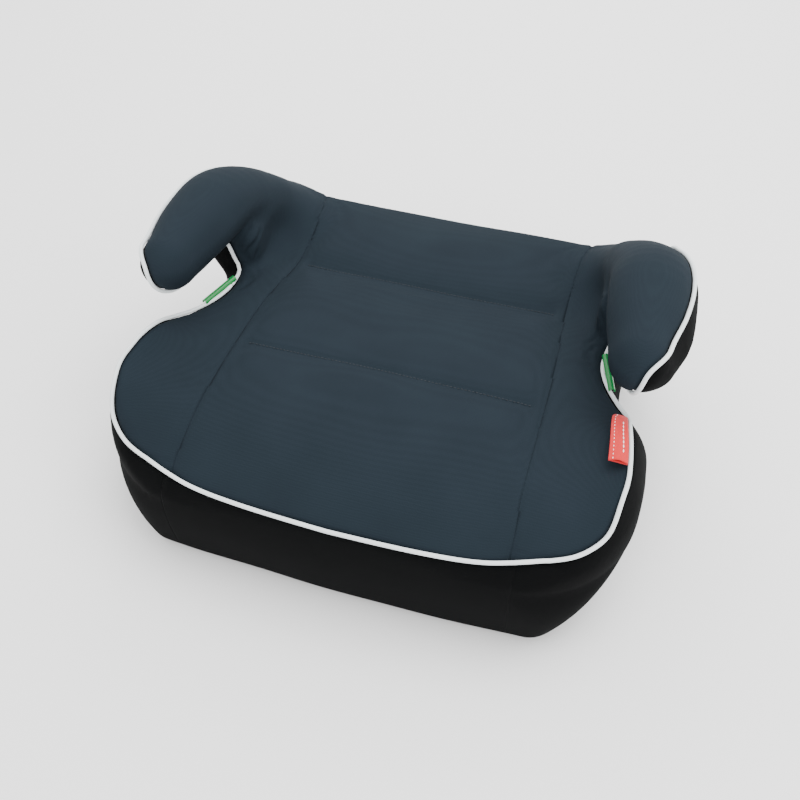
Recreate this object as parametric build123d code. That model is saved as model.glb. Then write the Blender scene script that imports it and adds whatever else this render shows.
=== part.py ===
from build123d import *
import os
from math import atan2, exp, hypot, radians, sqrt, tan

# Backless child booster seat: a two-part plastic body, foam and a sewn cover.
# Millimetres, +Z up, front towards -Y, origin on the floor under the middle.

os.makedirs("parts", exist_ok=True)

# Overall sizes
DEPTH = 358.0             # front edge to back edge on the middle line
BASE_WIDTH = 336.0        # across the underside
BASE_SETBACK = 6.0        # the front and back walls draw in towards the floor
BELLY_WIDTH = 418.0       # across the skirt where it is widest
RIM_WIDTH = 404.0         # across the seat edge in front of the arms
ARM_SPAN = 440.0          # across the outer faces of the arms
ARM_HEIGHT = 205.0        # floor to the top of the arms

# Plan outline of the seat at three heights
BELLY_HEIGHT = 88.0
PRISM_TOP = 165.0
BASE_FRONT_RADIUS = 4000.0
FRONT_RADIUS = 618.0      # bow of the front edge, seen from above
BACK_RADIUS = 2600.0
FRONT_CORNER = 24.0       # at the floor
BELLY_CORNER = 62.0       # front corners of the skirt and the seat's edge
BACK_CORNER = 42.0

# Sitting surface
FRONT_HEIGHT = 95.0       # front edge
ROLL_RISE = 32.0          # from the front edge up to the flat of the seat
ROLL_LENGTH = 32.0
DIP_DEPTH = 9.0           # hollow across the rear of the seat
DIP_FROM_FRONT = 242.0
DIP_LENGTH = 40.0
BOLSTER_RISE = 18.0       # the side edges stand up beside the thighs
BOLSTER_FROM_FRONT = 72.0
BOLSTER_LENGTH = 45.0
EDGE_POWER = 6            # how sharply the side edges rise and fall
SLOT_DROP = 16.0          # the side edges fall beside the belt slots
SLOT_DROP_FROM_FRONT = 190.0
SLOT_DROP_LENGTH = 40.0
SIDE_SEAM = 128.0         # from the middle to each side seam

# Arms
ARM_INNER = 150.0         # from the middle to the inner face of an arm
ARM_FILLET = 25.0
NOSE_FROM_FRONT = 145.0
OUTER_TAPER = 13.0        # each face of the arm draws in by this towards the nose
INNER_TAPER = 18.0
TAPER_LENGTH = 62.0
NOSE_RADIUS = 26.0
ARM_UNDERSIDE = 151.5
ARM_REAR_FROM_BACK = 12.0
ARM_CREST_FROM_BACK = 102.0
ARM_ROOT = 90.0           # lowest height of the arm where it joins the side
ARM_BELLY = 152.0         # below this height the arm's outer face draws in
BAND_SLOPE = (1.08, -0.2, -1.0)

# Belt slots under the arms
WAIST_WIDTH = 368.0       # across the sides, from the slots backwards
SLOT_EDGE = 166.0         # from the middle to the slot's inner edge
SLOT_FRONT_FROM_FRONT = 122.0
SLOT_BEND_FROM_FRONT = 174.0
SLOT_REAR_FROM_FRONT = 224.0
SLOT_REAR_RADIUS = 14.0
SLOT_EDGE_HEIGHT = 119.0
SLOT_OVERRUN = 1.0        # the slot's floor runs on into the arm
SLOT_FALL = 0.63          # fall of the slot's floor towards the outside

# Layers
COVER = 3.0               # knit with its foam backing
SEAT_FOAM = 15.0
ARM_FOAM = 7.4
WALL = 3.0                # plastic mouldings
GAP = 0.3                 # between soft layers

# Underside
HEM_GAP = 1.0             # floor to the hem
HEM_WIDTH = 28.0
ELASTIC = 3.0
TRAY_STEP = 5.0           # the tray's rim is raised over the hem
TRAY_FIT = 2.6            # tray's rim to the cover round it
RIB_HEIGHT = 16.0
RIB_WALL = 2.0
RIB_PITCH = 52.0

# Screws
SCREW = 4.0
SCREW_HEAD = 8.0
SCREW_HEAD_HEIGHT = 3.0
SCREW_LENGTH = 18.0
SCREW_FIT = 0.1           # clearance round a shank, on the radius
HEAD_FIT = 0.75
BOSS = 12.0
SHELL_SCREW_X = 108.0
SHELL_SCREW_Y = (-112.0, 0.0, 112.0)
ARM_SCREW_X = 172.0
ARM_SCREW_FROM_BACK = (62.0, 108.0)

# Trim
PIPING = 3.0
GUIDE_LENGTH = 38.0
GUIDE_WALL = 0.9
GUIDE_SLIT = 130.0        # degrees of the tube left open
TAG_LENGTH = 50.0
TAG_WIDTH = 15.0
TAG_THICKNESS = 1.6
TAG_FRONT_FROM_FRONT = 92.0
TAG_LIFT = 4.6            # tag's middle over the piping's middle
TRIM_GAP = 0.9            # piping to the cover beside it
ARM_TRIM_GAP = 2.4        # more round the arm, where the seam crosses slanting faces
PIPING_RUN = 11.0         # spacing of the points that the piping follows
EDGE_STEPS = 600
LEAST_TURN = 0.4          # degrees

FRONT = -DEPTH / 2
BACK = DEPTH / 2
FAR = 600.0
FOAM_TOP = COVER + GAP
DECK = FOAM_TOP + SEAT_FOAM + GAP
ARM_CORE_INSET = COVER + GAP + ARM_FOAM + GAP
HEM_THICKNESS = 2.0
HEM_TOP = HEM_GAP + HEM_THICKNESS
HEM_MIDDLE = HEM_GAP + ELASTIC / 2
SHELL_RIM = TRAY_STEP + WALL + GAP
HEAD_SEAT = TRAY_STEP - 0.6
SCREW_TIP = HEAD_SEAT + SCREW_LENGTH + 1
DECK_AT_ARM = FRONT_HEIGHT + ROLL_RISE - DECK - WALL


def save(part, name):
    part.label = name
    export_step(part, f"parts/{name}.step")


def mirrored(part):
    return mirror(part, about=Plane.YZ)


def block(x0, x1, y0, y1, z0, z1):
    return Pos((x0 + x1) / 2, (y0 + y1) / 2, (z0 + z1) / 2) * Box(x1 - x0, y1 - y0, z1 - z0)


def outline(width, front_radius, corner, setback, inset, height):
    """Plan outline with bowed front and back edges and round corners."""
    half = width / 2 - inset
    front = FRONT + setback + inset
    back = BACK - setback - inset
    front_side = front + front_radius - sqrt(front_radius ** 2 - half ** 2)
    back_side = back - BACK_RADIUS + sqrt(BACK_RADIUS ** 2 - half ** 2)
    edges = [
        ThreePointArc((-half, front_side), (0, front), (half, front_side)),
        Line((half, front_side), (half, back_side)),
        ThreePointArc((half, back_side), (0, back), (-half, back_side)),
        Line((-half, back_side), (-half, front_side)),
    ]
    face = make_face(edges)
    corners = face.vertices().sort_by(Axis.Y)
    face = fillet(corners[:2], corner - inset / 2)
    corners = [v for v in face.vertices() if abs(v.Y - back_side) < 0.01]
    face = fillet(corners, BACK_CORNER - inset / 2)
    return Pos(0, 0, height) * face


def base(inset, height):
    return outline(BASE_WIDTH, BASE_FRONT_RADIUS, FRONT_CORNER, BASE_SETBACK, inset, height)


def top_height(x, y):
    """Height of the sitting surface over the floor."""
    from_front = FRONT_RADIUS - hypot(x, y - FRONT - FRONT_RADIUS)
    roll = from_front
    if from_front > 0:
        roll = ROLL_RISE * (1 - exp(-from_front / ROLL_LENGTH))
    dip = DIP_DEPTH * exp(-((from_front - DIP_FROM_FRONT) / DIP_LENGTH) ** 2)
    along = (y - FRONT - BOLSTER_FROM_FRONT) / BOLSTER_LENGTH
    beside = (y - FRONT - SLOT_DROP_FROM_FRONT) / SLOT_DROP_LENGTH
    lift = BOLSTER_RISE * exp(-along ** 2 / 2) - SLOT_DROP * exp(-beside ** 2 / 2)
    across = (2 * abs(x) / RIM_WIDTH) ** EDGE_POWER
    return FRONT_HEIGHT + roll - dip + lift * across


def sitting_surface():
    columns = 31
    rows = 29
    reach_x = ARM_SPAN / 2 + 12
    reach_y = DEPTH / 2 + 12
    points = []
    for i in range(columns):
        x = -reach_x + 2 * reach_x * i / (columns - 1)
        line = []
        for j in range(rows):
            y = -reach_y + 2 * reach_y * j / (rows - 1)
            line.append((x, y, top_height(x, y)))
        points.append(line)
    return Face.make_surface_from_array_of_points(points, tol=0.05)


SURFACE = sitting_surface()


def under(drop):
    """Everything below the sitting surface lowered by drop."""
    return Part() + extrude(Pos(0, 0, -drop) * SURFACE, amount=ARM_HEIGHT, dir=(0, 0, -1))


def slot_cut(inset):
    """Space beside the seat from the belt slot backwards, on the +X side."""
    edge = SLOT_EDGE - inset
    rim = RIM_WIDTH / 2 - inset
    waist = WAIST_WIDTH / 2 - inset
    out = ARM_SPAN
    start = FRONT + SLOT_FRONT_FROM_FRONT - inset
    bend = FRONT + SLOT_BEND_FROM_FRONT - inset / 2
    end = FRONT + SLOT_REAR_FROM_FRONT + inset + SLOT_OVERRUN
    plan = Polyline((rim, start), (edge + 7, bend), (edge, bend + 23), (edge, end),
                    (out, end), (out, start), close=True)
    low = SLOT_EDGE_HEIGHT - inset
    side = Polyline((SLOT_EDGE - 40, low + SLOT_FALL * 40), (out, low - SLOT_FALL * (out - SLOT_EDGE)),
                    (out, FAR), (SLOT_EDGE - 40, FAR), close=True)
    shoulder = extrude(make_face(plan), amount=FAR)
    shoulder = shoulder & extrude(Plane.XZ * make_face(side), amount=FAR, both=True)
    flank = Polyline((BELLY_WIDTH / 2 + 2 - inset, start - 4), (waist + 10, bend - 6), (waist, bend + 10),
                     (waist, FAR), (out, FAR), (out, start - 4), close=True)
    return shoulder + extrude(make_face(flank), amount=FAR)


def seat_prism(inset, floor):
    """Seat body without its sitting surface."""
    sections = [
        base(inset, 0),
        outline(BELLY_WIDTH, FRONT_RADIUS, BELLY_CORNER, 0, inset, BELLY_HEIGHT),
        outline(2 * RIM_WIDTH - BELLY_WIDTH, FRONT_RADIUS, BELLY_CORNER, 0, inset, PRISM_TOP),
    ]
    prism = loft(sections, ruled=True) - block(-FAR, FAR, -FAR, FAR, -FAR, floor)
    cut = slot_cut(inset)
    return prism - cut - mirrored(cut)


def seat_body(inset, drop, floor):
    return seat_prism(inset, floor) & under(drop)


def arm(inset, foot=ARM_ROOT):
    """Arm rest on the +X side as one solid lobe, down to the height foot."""
    nose = FRONT + NOSE_FROM_FRONT
    root = FRONT + SLOT_REAR_FROM_FRONT
    crest = BACK - ARM_CREST_FROM_BACK
    rear = BACK - ARM_REAR_FROM_BACK
    low = foot - inset
    corners = [
        (root, low), (root, ARM_UNDERSIDE), (nose, ARM_UNDERSIDE),
        (nose, ARM_HEIGHT), (crest, ARM_HEIGHT), (rear, SLOT_EDGE_HEIGHT + 11), (rear, low),
    ]
    radii = [0, SLOT_REAR_RADIUS, NOSE_RADIUS, NOSE_RADIUS, 60, 30, 0]
    profile = make_face(FilletPolyline(*corners, radius=radii, close=True))
    if inset:
        profile = offset(profile, -inset, kind=Kind.INTERSECTION)
    width = ARM_SPAN / 2 - ARM_INNER - 2 * inset
    lobe = extrude(Plane.YZ.offset(ARM_INNER + inset) * profile, amount=width)
    sides = lobe.faces().sort_by(Axis.X)
    edges = sides[0].edges() + sides[-1].edges()
    edges = [e for e in edges if e.bounding_box().max.Z > foot + 1]
    return fillet(edges, ARM_FILLET - inset) - under_arm(inset) - beside_nose(inset)


def under_arm(inset):
    """Space below the arm's outer face, which draws in towards the waist."""
    waist = WAIST_WIDTH / 2
    outer = ARM_SPAN / 2
    rise = ARM_BELLY - ARM_ROOT
    slope = hypot(outer - waist, rise)
    shift = inset * slope / rise
    low = waist - shift - (outer - waist) * ARM_ROOT / rise
    side = Polyline((low, 0), (outer - shift, ARM_BELLY), (FAR, ARM_BELLY), (FAR, 0), close=True)
    return extrude(Plane.XZ * make_face(side), amount=FAR, both=True)


def beside_nose(inset):
    """Space beside the arm's two faces where they draw in towards the nose."""
    nose = FRONT + NOSE_FROM_FRONT
    wedges = []
    for face, taper, far in ((ARM_SPAN / 2, -OUTER_TAPER, FAR), (ARM_INNER, INNER_TAPER, 0)):
        shift = inset * hypot(taper, TAPER_LENGTH) / TAPER_LENGTH
        start = face + (shift if taper > 0 else -shift)
        plan = Polyline((start, nose + TAPER_LENGTH), (start + 2 * taper, nose - TAPER_LENGTH),
                        (far, nose - TAPER_LENGTH), (far, nose + TAPER_LENGTH), close=True)
        wedges.append(extrude(make_face(plan), amount=FAR))
    return wedges[0] + wedges[1]


def both_arms(inset, foot=ARM_ROOT):
    lobe = arm(inset, foot)
    return lobe, mirrored(lobe)


# ---------------------------------------------------------------- cover
def cover_pieces():
    right, left = both_arms(0)
    right_in, left_in = both_arms(COVER, ARM_ROOT + COVER)
    outer = seat_body(0, 0, HEM_GAP) + right + left
    inner = seat_body(COVER, COVER, HEM_TOP) + right_in + left_in
    mouth = extrude(base(HEM_WIDTH, -1), amount=HEM_TOP + 2)
    cover = outer - inner - mouth
    above = seat_prism(COVER + 0.2, HEM_TOP) - block(-FAR, FAR, -FAR, FAR, -1, BELLY_HEIGHT / 2)

    band = Plane(origin=(SLOT_EDGE + 10, 0, ARM_UNDERSIDE), z_dir=BAND_SLOPE)
    outside = extrude(band * Rectangle(FAR, FAR), amount=FAR)
    on_arm = cover & right
    arm_black = on_arm & outside
    arm_grey = on_arm - outside
    rest = cover - right - left
    grey = rest & above
    black = rest - above

    centre = grey & block(-SIDE_SEAM, SIDE_SEAM, -FAR, FAR, 0, FAR)
    side = (grey & block(SIDE_SEAM, FAR, -FAR, FAR, 0, FAR)) + arm_grey
    save(centre, "cover_centre_panel")
    save(side, "cover_right_panel")
    save(mirrored(side), "cover_left_panel")

    corner_x = BASE_WIDTH / 2 - FRONT_CORNER
    front = black & block(-corner_x, corner_x, -FAR, 0, 0, FAR)
    back = black & block(-corner_x, corner_x, 0, FAR, 0, FAR)
    flank = (black & block(corner_x, FAR, -FAR, FAR, 0, FAR)) + arm_black
    save(front, "skirt_front")
    save(back, "skirt_back")
    save(flank, "skirt_right")
    save(mirrored(flank), "skirt_left")
    return band


BAND = cover_pieces()


# ---------------------------------------------------------------- foam
def foam_pieces():
    right, left = both_arms(COVER)
    slab = seat_body(FOAM_TOP, FOAM_TOP, HEM_TOP) - under(DECK - GAP)
    save(slab - right - left, "seat_foam")
    pad = arm(FOAM_TOP, ARM_ROOT + FOAM_TOP) - arm(ARM_CORE_INSET - GAP) - under(DECK - GAP)
    save(pad, "arm_foam_right")
    save(mirrored(pad), "arm_foam_left")


# ---------------------------------------------------------------- plastic body
def screw_places():
    return [(x, y) for x in (-SHELL_SCREW_X, SHELL_SCREW_X) for y in SHELL_SCREW_Y]


def arm_screw_places():
    return [(ARM_SCREW_X, BACK - back) for back in ARM_SCREW_FROM_BACK]


def arm_screw_seat(x, y):
    """Height of the face under the deck that an arm screw's head bears on."""
    return top_height(x, y) - DECK - WALL * 0.7


def cylinder(x, y, z0, z1, diameter):
    return Pos(x, y, (z0 + z1) / 2) * Cylinder(diameter / 2, z1 - z0)


def seat_shell():
    """Upper moulding: a deck with sloping walls, open below, and six screw posts."""
    side = COVER + 2 * GAP
    outside = seat_body(side, DECK, SHELL_RIM)
    inside = seat_body(side + WALL, DECK + WALL, SHELL_RIM - 1)
    shell = outside - inside
    for x, y in screw_places():
        post = cylinder(x, y, SHELL_RIM, FAR, BOSS) & outside
        hole = cylinder(x, y, 0, SCREW_TIP, SCREW + 2 * SCREW_FIT)
        shell = shell + (post - hole)
    for x, y in arm_screw_places():
        seat = arm_screw_seat(x, y)
        hole = cylinder(x, y, seat - BOSS, FAR, SCREW + 2 * SCREW_FIT)
        hole = hole + cylinder(x, y, seat - BOSS, seat, SCREW_HEAD + 2 * HEAD_FIT)
        shell = shell - hole - mirrored(hole)
    save(shell, "seat_shell")


def base_tray():
    """Lower moulding: a floor plate with a raised rim, ribs and screw recesses."""
    middle = HEM_WIDTH + ELASTIC + 4 * GAP
    rim_inset = COVER + TRAY_FIT
    rim = extrude(base(rim_inset, TRAY_STEP), amount=WALL)
    raised = extrude(base(middle, 0), amount=TRAY_STEP + WALL)
    hollow = extrude(base(middle + WALL, WALL), amount=FAR)
    tray = rim + raised - hollow
    field = extrude(base(middle + WALL / 2, WALL / 2), amount=RIB_HEIGHT)
    for x in rib_lines(BASE_WIDTH):
        tray = tray + (block(x - RIB_WALL / 2, x + RIB_WALL / 2, -FAR, FAR, 0, FAR) & field)
    for y in rib_lines(DEPTH):
        tray = tray + (block(-FAR, FAR, y - RIB_WALL / 2, y + RIB_WALL / 2, 0, FAR) & field)
    for x, y in screw_places():
        tray = tray - cylinder(x, y, SHELL_RIM, FAR, BOSS + 4 * GAP)
        tray = tray + cylinder(x, y, 0, TRAY_STEP + WALL, SCREW_HEAD + 2 * (HEAD_FIT + WALL))
        tray = tray - cylinder(x, y, -1, HEAD_SEAT, SCREW_HEAD + 2 * HEAD_FIT)
        tray = tray - cylinder(x, y, -1, FAR, SCREW + 2 * SCREW_FIT)
    save(tray, "base_tray")


def rib_lines(span):
    count = int(span / 2 / RIB_PITCH)
    return [RIB_PITCH * i for i in range(1 - count, count)]


def screw(x, y, seat):
    """Pan head screw pointing up, its head under the height seat."""
    body = cylinder(x, y, seat, seat + SCREW_LENGTH, SCREW)
    head = cylinder(x, y, seat - SCREW_HEAD_HEIGHT, seat, SCREW_HEAD)
    head = fillet(head.edges().group_by(Axis.Z)[0], SCREW_HEAD_HEIGHT / 3)
    for turn in (0, 90):
        slot = Box(SCREW_HEAD / 2, SCREW / 4, SCREW_HEAD_HEIGHT)
        head = head - Pos(x, y, seat - SCREW_HEAD_HEIGHT) * Rot(0, 0, turn) * slot
    return head + body


def arm_core():
    """Hollow arm moulding with two webs that carry its screw posts."""
    core = arm(ARM_CORE_INSET) - arm(ARM_CORE_INSET + WALL, ARM_ROOT - WALL)
    filling = arm(ARM_CORE_INSET + WALL / 2)
    for x, y in arm_screw_places():
        web = block(0, ARM_SPAN, y - RIB_WALL / 2, y + RIB_WALL / 2, 0, ARM_HEIGHT) & filling
        post = cylinder(x, y, 0, DECK_AT_ARM + SCREW_LENGTH + WALL, BOSS) & filling
        core = core + web + post
    for x, y in arm_screw_places():
        core = core - cylinder(x, y, 0, DECK_AT_ARM + SCREW_LENGTH, SCREW + 2 * SCREW_FIT)
    core = core - under(DECK - GAP / 2)
    save(core, "arm_core_right")
    save(mirrored(core), "arm_core_left")


def screws():
    shell_screws = [screw(x, y, HEAD_SEAT) for x, y in screw_places()]
    save(Compound(children=shell_screws), "shell_screws")
    right = []
    for x, y in arm_screw_places():
        right.append(screw(x, y, arm_screw_seat(x, y)))
    save(Compound(children=right + [mirrored(one) for one in right]), "arm_screws")


# ---------------------------------------------------------------- trim
def hem_elastic():
    """Elastic cord in the mouth of the hem, under the seat."""
    line = base(HEM_WIDTH + ELASTIC / 2 + GAP, HEM_MIDDLE)
    path = line.wire()
    start = path @ 0
    section = Plane(origin=start, z_dir=path % 0) * Circle(ELASTIC / 2)
    save(sweep(section, path=path), "hem_elastic")


def cord_radii(points):
    """A corner radius at each inner point, as large as the two runs allow."""
    radii = []
    for before, here, after in zip(points, points[1:], points[2:]):
        a = here - before
        b = after - here
        turn = radians(a.get_angle(b))
        radii.append(0.45 * min(a.length, b.length) / tan(turn / 2))
    return radii


def turning(points):
    """The points without those in line with both neighbours."""
    kept = points[:1]
    for here, after in zip(points[1:], points[2:]):
        if (here - kept[-1]).get_angle(after - here) > LEAST_TURN:
            kept.append(here)
    return kept + points[-1:]


def piped(points):
    """Round trim through a list of points."""
    points = turning(points)
    line = FilletPolyline(*points, radius=cord_radii(points))
    section = Plane(origin=line @ 0, z_dir=line % 0) * Circle(PIPING / 2)
    return sweep(section, path=line)


def lifted(point, along):
    """A point just outside an edge: outwards and up from it."""
    out = Vector(along.Y, -along.X, 0).normalized()
    if out.dot(Vector(point.X, point.Y, 0)) < 0:
        out = out * -1
    return point + (out + Vector(0, 0, 1.2)).normalized() * (PIPING / 2 + TRIM_GAP)


def seat_edge():
    """Points along the seat's upper edge, as a list with their plan directions."""
    body = seat_body(0, 0, HEM_GAP)
    tops = [face for face in body.faces() if face.geom_type == GeomType.BSPLINE]
    top = max(tops, key=lambda face: face.area * face.normal_at().Z)
    wire = top.outer_wire()
    steps = [step / EDGE_STEPS for step in range(EDGE_STEPS)]
    return [lifted(wire.position_at(step), wire.tangent_at(step)) for step in steps]


def thinned(points, spacing):
    """Points at least spacing apart, with both ends kept."""
    kept = [points[0]]
    for point in points[1:-1]:
        near_end = (point - points[-1]).length < spacing
        if (point - kept[-1]).length >= spacing and not near_end:
            kept.append(point)
    return kept + [points[-1]]


def piping(edge):
    """White piping: along the front and sides, along the back, and round each arm."""
    slot_rear = FRONT + SLOT_REAR_FROM_FRONT - SLOT_REAR_RADIUS
    front = [point for point in edge if point.Y < slot_rear]
    front.sort(key=lambda point: atan2(point.X, -point.Y))
    save(piped(thinned(front, PIPING_RUN)), "piping_front")
    back = [point for point in edge if point.Y > 0 and abs(point.X) < ARM_INNER - PIPING]
    back.sort(key=lambda point: point.X)
    save(piped(thinned(back, 3 * PIPING_RUN)), "piping_back")

    cut = section(arm(0), section_by=BAND)
    ring = offset(cut.faces()[0], PIPING / 2 + ARM_TRIM_GAP).face().outer_wire()
    loop = [ring.position_at(step / EDGE_STEPS) for step in range(EDGE_STEPS)]
    clear = [point.Z > max(top_height(point.X, point.Y), SLOT_EDGE_HEIGHT) + PIPING for point in loop]
    first = clear.index(False)
    turned = loop[first:] + loop[:first]
    shown = [point for point in turned if clear[loop.index(point)]]
    run = piped(thinned(shown, PIPING_RUN))
    save(run, "piping_right")
    save(mirrored(run), "piping_left")


def edge_at(edge, y):
    """The point of the +X side of the seat's edge at a place along the seat."""
    side = [point for point in edge if point.X > 0 and abs(point.X) > BASE_WIDTH / 3]
    return min(side, key=lambda point: abs(point.Y - y))


def belt_guide(edge):
    """Split tube clipped over the piping where the belt passes."""
    start = edge_at(edge, FRONT + SLOT_BEND_FROM_FRONT)
    bend = edge_at(edge, FRONT + SLOT_BEND_FROM_FRONT + 20)
    along = (bend - start).normalized()
    inner = PIPING / 2 + GAP
    wedge = GUIDE_LENGTH
    half = radians(GUIDE_SLIT / 2)
    slit = make_face(Polyline((0, 0), (wedge, -wedge * tan(half)), (wedge, wedge * tan(half)),
                              close=True))
    ring = Circle(inner + GUIDE_WALL) - Circle(inner) - slit
    side = along.cross(Vector(0, 0, 1))
    down = along.cross(side)
    if down.Z > 0:
        down = down * -1
    tube = extrude(Plane(origin=start, x_dir=down, z_dir=along) * ring, amount=GUIDE_LENGTH)
    save(tube, "belt_guide_right")
    save(mirrored(tube), "belt_guide_left")


def tag(edge):
    """Woven tag folded over and sewn in beside the piping, lying on the cover."""
    near = edge_at(edge, FRONT + TAG_FRONT_FROM_FRONT)
    far = edge_at(edge, FRONT + TAG_FRONT_FROM_FRONT + TAG_LENGTH)
    along = (far - near).normalized()
    middle = (near + far) / 2 + Vector(0, 0, TAG_LIFT)
    upright = Vector(1, 0, 0).cross(along)
    inwards = along.cross(upright)
    if inwards.X > 0:
        inwards = inwards * -1
    plane = Plane(origin=middle, x_dir=inwards, z_dir=upright)
    slab = Box(TAG_WIDTH, TAG_LENGTH, TAG_THICKNESS)
    slab = fillet(slab.edges().filter_by(Axis.Y).group_by(Axis.X)[-1], TAG_THICKNESS * 0.4)
    save(plane * Pos(TAG_WIDTH / 2, 0, 0) * slab, "tag")
    print("tag hinge", middle, "along", along)


foam_pieces()
seat_shell()
base_tray()
arm_core()
screws()
hem_elastic()
seat_edge_points = seat_edge()
piping(seat_edge_points)
belt_guide(seat_edge_points)
tag(seat_edge_points)
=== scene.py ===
import math

import bpy
import numpy as np
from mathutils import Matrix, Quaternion, Vector
from mathutils.bvhtree import BVHTree


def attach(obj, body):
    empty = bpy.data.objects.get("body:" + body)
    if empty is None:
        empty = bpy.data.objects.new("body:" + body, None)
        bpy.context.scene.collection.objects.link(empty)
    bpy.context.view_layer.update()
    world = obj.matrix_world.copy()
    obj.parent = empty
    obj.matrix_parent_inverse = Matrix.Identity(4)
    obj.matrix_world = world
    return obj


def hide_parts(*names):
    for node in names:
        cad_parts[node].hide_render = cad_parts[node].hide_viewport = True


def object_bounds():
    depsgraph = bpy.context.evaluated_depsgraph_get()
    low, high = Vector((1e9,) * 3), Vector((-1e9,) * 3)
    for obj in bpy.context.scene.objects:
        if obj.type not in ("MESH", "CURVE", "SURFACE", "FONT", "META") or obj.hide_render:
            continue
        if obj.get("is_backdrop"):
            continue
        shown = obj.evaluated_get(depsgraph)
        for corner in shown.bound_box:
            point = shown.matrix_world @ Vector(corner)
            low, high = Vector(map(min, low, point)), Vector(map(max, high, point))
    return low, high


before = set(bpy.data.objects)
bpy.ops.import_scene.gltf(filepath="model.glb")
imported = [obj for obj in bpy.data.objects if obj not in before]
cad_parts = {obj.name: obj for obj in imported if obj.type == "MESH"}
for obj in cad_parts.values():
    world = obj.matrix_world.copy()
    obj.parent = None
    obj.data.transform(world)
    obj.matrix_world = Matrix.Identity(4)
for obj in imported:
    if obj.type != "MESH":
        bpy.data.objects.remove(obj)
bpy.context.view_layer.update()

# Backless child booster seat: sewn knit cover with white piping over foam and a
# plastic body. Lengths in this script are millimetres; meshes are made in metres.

MM = 0.001

# Overall shape, in the frame of the part: +X right, +Y back, +Z up
FRONT = -183.0
FRONT_RADIUS = 618.0       # bow of the front edge, seen from above
BACK_RADIUS = 2600.0
BASE_HALF = 168.0          # half width at the floor
BELLY_HEIGHT = 88.0
GRID = 2.6                 # cell of the skin's mesh
COVER = 2.2                # thickness of the cloth
SHIFT = np.array([0, 4.0, 0])   # from the middle of these sections to the part's origin
PIPING = 3.3               # diameter of the piping
HEM = 28.0                 # width of the cover turned under the base
SKIRT_SEAM = 138.0         # from the middle to the seams of the skirt

# The sitting surface on the middle line: distance behind the front seam, height
CROWN_AT = (0, 24, 46, 62, 90, 114, 167, 200, 238, 270, 292, 318, 358)
CROWN_HEIGHT = (95, 110.6, 119.3, 122.8, 125.4, 126.2, 126.2, 122.8, 116.6, 119.6, 122.4, 122.5,
                119)

# Half width and lift of the seat's edge, and half width of the skirt, along the seat
EDGE_Y = (-183, -160, -143.5, -131, -113, -89, -74, -55, -37, -22, -9, 14, 41, 60, 183)
EDGE_HALF = (150, 180, 195, 200.5, 201, 200, 198, 195, 190, 182, 173, 165, 166, 172, 176)
EDGE_LIFT = (4, 9, 16, 19.5, 20.5, 17.5, 16, 11, 2, -3, -4, -4, -3, 0, 0)
EDGE_POWER = 6
BELLY_Y = (-183, -150, -110, -70, -45, -30, -20, -5, 15, 60, 183)
BELLY_HALF = (207, 211, 213.5, 213.5, 209, 199, 190.5, 184.5, 182, 182, 184)

# Arms: a lobe of round sections along a bent middle line, a cheek low on its outer
# side, and the side wall that carries it
ARM_LOBE = (               # y, z, radius
    (-24, 178, 25), (20, 179, 27), (58, 177, 28), (98, 155, 29.5), (126, 125, 30), (138, 100, 27),
)
ARM_Y = (-50, -20, 12, 40, 80, 120, 150)
ARM_MIDDLE = (190, 189, 188, 187, 185.5, 180, 174)
ARM_STRETCH = (0.88, 0.92, 1.09, 1.15, 1.18, 1.24, 1.27)    # width over height
ARM_CHEEK = (              # x, y, z, radius
    (201, -20, 169, 14.5), (207.5, 5, 168, 15.5), (209, 45, 167, 15.5), (207, 80, 158, 16),
    (202, 110, 140, 17),
)
WALL_INNER, WALL_OUTER = 150, 219
WALL_FRONT, WALL_BACK = 44, 166
WALL_FOOT, WALL_TOP = 60, 166
WALL_EDGE = 16             # rounding of the wall's edges
NARROW_BLEND = 9           # blend of seat and arm, and what the rear shoulder adds
WIDE_BLEND = 30

SKIN_LOW, SKIN_HIGH = (-232, -194, -3), (232, 186, 214)    # space the skin is looked for in


def ramp(value, xs, ys):
    """Smooth curve through given points, flat outside them."""
    xs = np.asarray(xs, float)
    ys = np.asarray(ys, float)
    slope = np.gradient(ys, xs)
    value = np.clip(value, xs[0], xs[-1])
    i = np.clip(np.searchsorted(xs, value) - 1, 0, len(xs) - 2)
    width = xs[i + 1] - xs[i]
    t = (value - xs[i]) / width
    a = ys[i] * (1 + 2 * t) * (1 - t) ** 2 + ys[i + 1] * t * t * (3 - 2 * t)
    b = width * t * (1 - t) * (slope[i] * (1 - t) - slope[i + 1] * t)
    return a + b


def smooth_step(v, low, high):
    t = np.clip((v - low) / (high - low), 0, 1)
    return t * t * (3 - 2 * t)


def smooth_max(a, b, k):
    h = np.clip(0.5 + 0.5 * (a - b) / k, 0, 1)
    return a * h + b * (1 - h) + k * h * (1 - h)


def smooth_min(a, b, k):
    return -smooth_max(-a, -b, k)


def crown(x, y):
    """Height of the sitting surface without its raised side edges."""
    inside = FRONT_RADIUS - np.hypot(x, y - FRONT - FRONT_RADIUS)
    return ramp(inside, CROWN_AT, CROWN_HEIGHT) + np.minimum(inside, 0)


def top_height(x, y):
    across = np.minimum(np.abs(x) / ramp(y, EDGE_Y, EDGE_HALF), 1.12)
    return crown(x, y) + ramp(y, EDGE_Y, EDGE_LIFT) * across ** EDGE_POWER


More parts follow.
